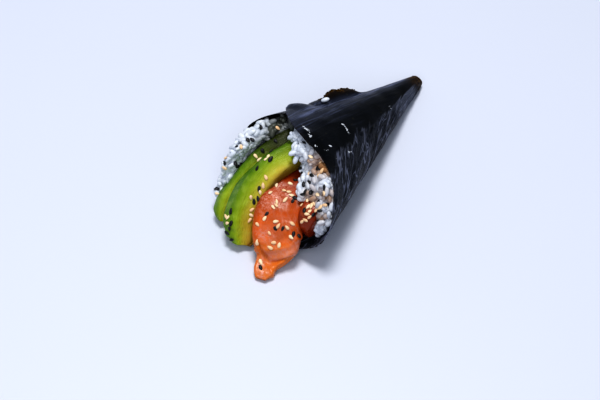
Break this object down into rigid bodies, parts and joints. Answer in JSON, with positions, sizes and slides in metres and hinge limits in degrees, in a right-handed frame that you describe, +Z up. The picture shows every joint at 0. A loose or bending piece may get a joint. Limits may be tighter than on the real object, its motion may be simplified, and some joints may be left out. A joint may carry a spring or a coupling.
{
  "type": "temaki hand roll",
  "caption": "Cone-shaped sushi hand roll lying on its side: nori wrapped round rice, avocado slices and salmon, strewn with black and white sesame.",
  "frame": {"origin": "centre of the bounding box in plan, at the height of the floor the roll lies on", "axes": "+Y along the roll from its open mouth to its closed tip, +Z up, +X to the right seen from the mouth"},
  "size_m": [0.0694, 0.1572, 0.0525],
  "materials": {
    "nori": "satin",
    "rice": "moist",
    "avocado": "moist",
    "salmon": "wet",
    "salmon_side": "wet"
  },
  "bodies": {
    "root": {"nori": "nori", "rice": "rice", "avocado_front": "avocado", "avocado_rear": "avocado", "salmon_front": "salmon", "salmon_side": "salmon_side"}
  },
  "joints": []
}
